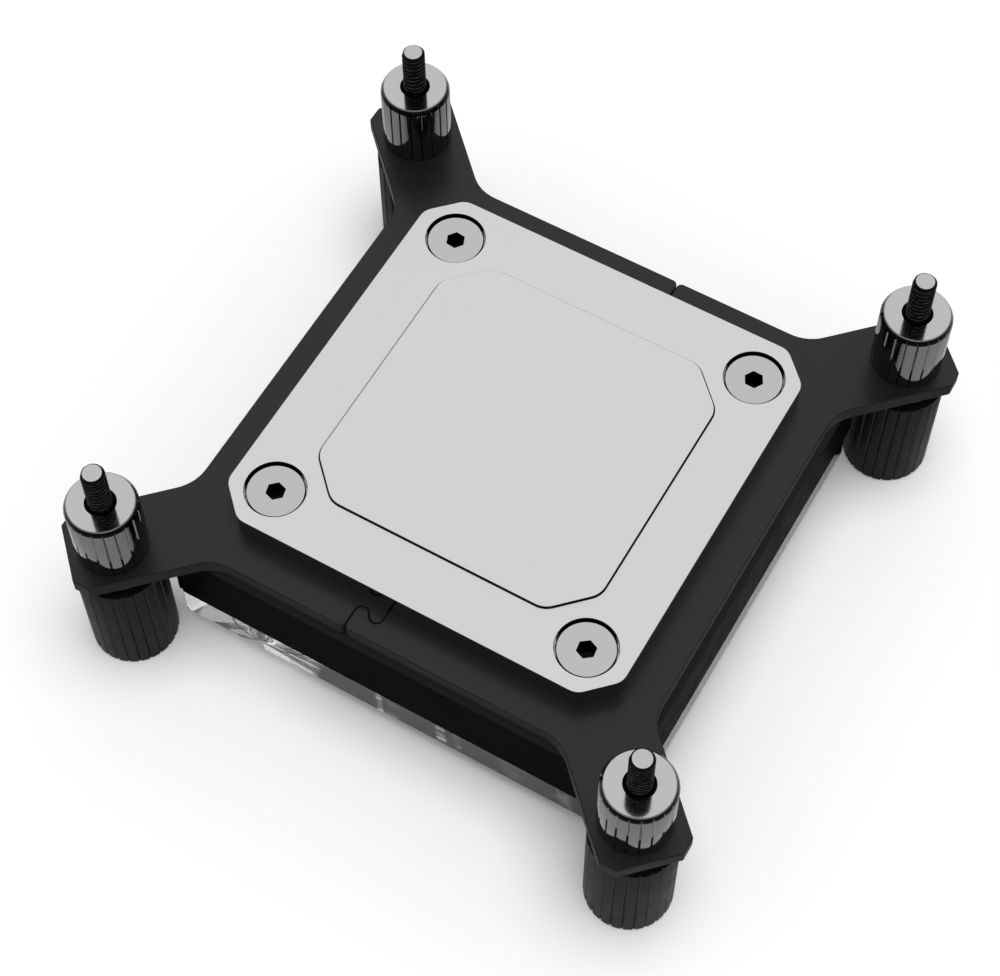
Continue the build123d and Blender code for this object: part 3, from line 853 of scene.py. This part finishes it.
class BLOCK_OT_collars(BlockOperator, Operator):
    """Make the four grooved collars"""

    bl_idname = "water_block.collars"
    bl_label = "Collars"

    def execute(self, context):
        sizes = context.scene.block_fasteners
        for number, turn in zip(CORNERS, COLLAR_TURNS):
            node = f"collar_{number}"
            low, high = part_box(node)
            values = {
                "Height": high[2] - low[2], "Grooves": sizes.collar_grooves,
                "Groove Width": sizes.collar_groove_width, "Groove Depth": sizes.collar_groove_depth,
                "Mouth Radius": sizes.mouth_radius, "Mouth Depth": sizes.mouth_depth, "Turn": radians(turn),
            }
            # The collar's sides and chamfers take darker copies of its nickel, as painted shade
            piece = grow(node, "Grooved Collar", values, "shaded_side_nickel", "black_shade_nickel", "faced_nickel")
        return {"FINISHED"}


class BLOCK_OT_screws(BlockOperator, Operator):
    """Make the four low-head screws of the cold plate"""

    bl_idname = "water_block.screws"
    bl_label = "Plate Screws"

    def execute(self, context):
        for number, turn in zip(CORNERS, SCREW_TURNS):
            node = f"cold_plate_screw_{number}"
            low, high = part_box(node)
            length = high[2] - low[2]
            values = {"Length": length, "Under Head": length - HEAD_HEIGHT, "Turn": radians(turn)}
            # The screw's sides and socket take the nickel painted near black, as shade
            piece = grow(node, "Low Head Screw", values, "black_shade_nickel", "black_shade_nickel", "faced_nickel")
        return {"FINISHED"}


class BLOCK_OT_bracket(BlockOperator, Operator):
    """Make the two halves of the bracket"""

    bl_idname = "water_block.bracket"
    bl_label = "Bracket Halves"

    def execute(self, context):
        edges = context.scene.block_edges
        for side in ("left", "right"):
            # The sides and the rounding take the side finish, as painted shade
            piece = edge_broken(
                f"bracket_half_{side}", edges.bracket_edge, ("black_anodised", "side_light_and_shade"),
                lambda face: 0 if face.normal.z > FACES_UP else 1, segments=3, rounding=1)
        return {"FINISHED"}


class BLOCK_OT_plate(BlockOperator, Operator):
    """Make the cold plate"""

    bl_idname = "water_block.cold_plate"
    bl_label = "Cold Plate"

    def execute(self, context):
        edges = context.scene.block_edges
        finishes = ("blasted_nickel", "bright_nickel", "shaded_edge_nickel", "shaded_wall_nickel", "shadow_line")
        blasted, bright, rounding, wall, shadow = range(len(finishes))
        top_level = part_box("cold_plate")[1][2]
        face_level = top_level - edges.land_height

        def face_or_side(face):
            """Blasted on top; darkened on the upright walls and black round the land, as painted shade;
            bright elsewhere.
            """
            middle = face.calc_center_median().z
            if abs(face.normal.z) > UPRIGHT:
                return blasted if face.normal.z > FACES_UP and middle > top_level - BLASTED_DEPTH else bright
            return shadow if middle > face_level + NEAR else wall

        def land_foot(edge):
            """The edges where the land's walls meet the face."""
            level = all(abs(vert.co.z - face_level) < NEAR for vert in edge.verts)
            return level and any(face.material_index == shadow for face in edge.link_faces)

        piece = edge_broken(
            "cold_plate", edges.plate_edge, finishes, face_or_side, rounding=rounding, root=land_foot)
        return {"FINISHED"}


class BLOCK_OT_frame(BlockOperator, Operator):
    """Make the black frame"""

    bl_idname = "water_block.black_frame"
    bl_label = "Black Frame"

    def execute(self, context):
        # Faces that lean up take the lighter bevel finish, as painted light
        piece = edge_broken(
            "black_frame", context.scene.block_edges.frame_edge, ("moulded_black", "lit_moulded_bevel"),
            lambda face: 1 if face.normal.z > LEANS_UP else 0)
        return {"FINISHED"}


class BLOCK_OT_clear(BlockOperator, Operator):
    """Make the clear top, and finish the jet plate and the seal inside it"""

    bl_idname = "water_block.clear_top"
    bl_label = "Clear Top"

    def execute(self, context):
        seat_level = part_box("black_frame")[0][2]

        def clear_or_backed(face):
            """Black with painted glints that glow where the frame lies on the flange, clear elsewhere."""
            on_seat = face.normal.z > FACES_UP and abs(face.calc_center_median().z - seat_level) < NEAR
            return 1 if on_seat else 0

        edges = context.scene.block_edges
        piece = edge_broken(
            "clear_top", edges.clear_edge, ("polished_acrylic", "black_seat_painted_glints"), clear_or_backed)
        for node, name in (("jet_plate", "jet_steel"), ("seal_ring", "seal_black")):
            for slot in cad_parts[node].material_slots:
                slot.material = material(name)
        return {"FINISHED"}


WORLD_LIGHT = 0.55
WORLD_WHITE = 1.0
FLOOR_HALF = 3.0
FLOOR_GLOW = 0.04
KEY_SIZE = 0.9
KEY_POWER = 10.5
KEY_PLACE = (0.13, -0.01, 1.3)
SENSOR_WIDTH = 36.0
FOCAL_LENGTH = 87.755
CAMERA_PLACE = (0.08343, -0.14669, 0.30330)
CAMERA_TURN = (30.1417, 0.3109, 29.9246)
CLIP_START = 0.01
CLIP_END = 10.0


def seen_directly(calc):
    """A value of 1 for rays of the camera, in gloss and through glass."""
    ray = calc.node("ShaderNodeLightPath").outputs
    seen = calc.math("MAXIMUM", ray["Is Camera Ray"], ray["Is Glossy Ray"])
    return calc.math("MAXIMUM", seen, ray["Is Transmission Ray"])


def floor_material(colour):
    """A pale floor that keeps the shadow and shows white to the camera, in metal and through glass."""
    floor = bpy.data.materials.new("pale_floor")
    floor.use_nodes = True
    floor.node_tree.nodes.clear()
    calc = Calc(floor.node_tree)
    paint = calc.node("ShaderNodeBsdfDiffuse", Color=(*colour, 1)).outputs[0]
    glow = calc.node("ShaderNodeEmission", Strength=FLOOR_GLOW).outputs[0]
    both = calc.node("ShaderNodeAddShader")
    choice = calc.node("ShaderNodeMixShader", Fac=seen_directly(calc))
    for value, socket in ((paint, both.inputs[0]), (glow, both.inputs[1]), (paint, choice.inputs[1]),
                          (both.outputs[0], choice.inputs[2])):
        calc.link(value, socket)
    calc.node("ShaderNodeOutputMaterial", Surface=choice.outputs[0])
    return floor


class BLOCK_OT_stage(BlockOperator, Operator):
    """Make the floor, the light and the camera"""

    bl_idname = "water_block.stage"
    bl_label = "Stage"

    def execute(self, context):
        scene = context.scene
        scene.view_settings.view_transform = "Standard"
        mesh = bpy.data.meshes.new("floor")
        corners = [(x * FLOOR_HALF, y * FLOOR_HALF, 0) for x, y in ((-1, -1), (1, -1), (1, 1), (-1, 1))]
        mesh.from_pydata(corners, [], [(0, 1, 2, 3)])
        mesh.materials.append(floor_material(scene.block_colours.floor))
        floor = add_object("floor", mesh)

        world = bpy.data.worlds.new("studio")
        world.use_nodes = True
        scene.world = world
        sky = world.node_tree.nodes["Background"]
        sky.inputs["Color"].default_value = (1, 1, 1, 1)
        calc = Calc(world.node_tree)
        calc.link(calc.ramp(seen_directly(calc), 0.0, 1.0, WORLD_LIGHT, WORLD_WHITE), sky.inputs["Strength"])

        lamp = bpy.data.lights.new("soft_key", "AREA")
        lamp.shape = "DISK"
        lamp.size = KEY_SIZE
        lamp.energy = KEY_POWER
        key = add_object("soft_key", lamp)
        key.location = KEY_PLACE
        key.visible_glossy = False

        lens = bpy.data.cameras.new("camera")
        lens.sensor_width = SENSOR_WIDTH
        lens.lens = FOCAL_LENGTH
        lens.clip_start = CLIP_START
        lens.clip_end = CLIP_END
        camera = add_object("camera", lens)
        camera.location = CAMERA_PLACE
        camera.rotation_euler = [radians(turn) for turn in CAMERA_TURN]
        scene.camera = camera
        return {"FINISHED"}


STEPS = (
    BLOCK_OT_stage, BLOCK_OT_studs, BLOCK_OT_nuts, BLOCK_OT_washers, BLOCK_OT_collars, BLOCK_OT_screws,
    BLOCK_OT_bracket, BLOCK_OT_plate, BLOCK_OT_frame, BLOCK_OT_clear,
)


class BLOCK_PT_sidebar(Panel):
    """Lists the steps and the values"""

    bl_idname = "BLOCK_PT_sidebar"
    bl_label = "Water Block"
    bl_space_type = "VIEW_3D"
    bl_region_type = "UI"
    bl_category = "Water Block"

    def draw(self, context):
        column = self.layout.column(align=True)
        for step in STEPS:
            column.operator(step.bl_idname, text=step.bl_label)
        for values in (context.scene.block_fasteners, context.scene.block_edges, context.scene.block_colours):
            box = self.layout.box()
            for name in values.bl_rna.properties.keys():
                if name not in ("rna_type", "name"):
                    box.prop(values, name)


CLASSES = (FastenerSizes, EdgeSizes, FinishColours) + STEPS + (BLOCK_PT_sidebar,)


def register():
    """Makes the classes and the values known to Blender."""
    for item in CLASSES:
        bpy.utils.register_class(item)
    bpy.types.Scene.block_fasteners = PointerProperty(type=FastenerSizes)
    bpy.types.Scene.block_edges = PointerProperty(type=EdgeSizes)
    bpy.types.Scene.block_colours = PointerProperty(type=FinishColours)


def unregister():
    """Takes them back."""
    del bpy.types.Scene.block_colours
    del bpy.types.Scene.block_edges
    del bpy.types.Scene.block_fasteners
    for item in reversed(CLASSES):
        bpy.utils.unregister_class(item)


def main():
    """Takes all the steps."""
    register()
    for step in STEPS:
        group, call = step.bl_idname.split(".")
        getattr(getattr(bpy.ops, group), call)()


if __name__ == "__main__":
    main()
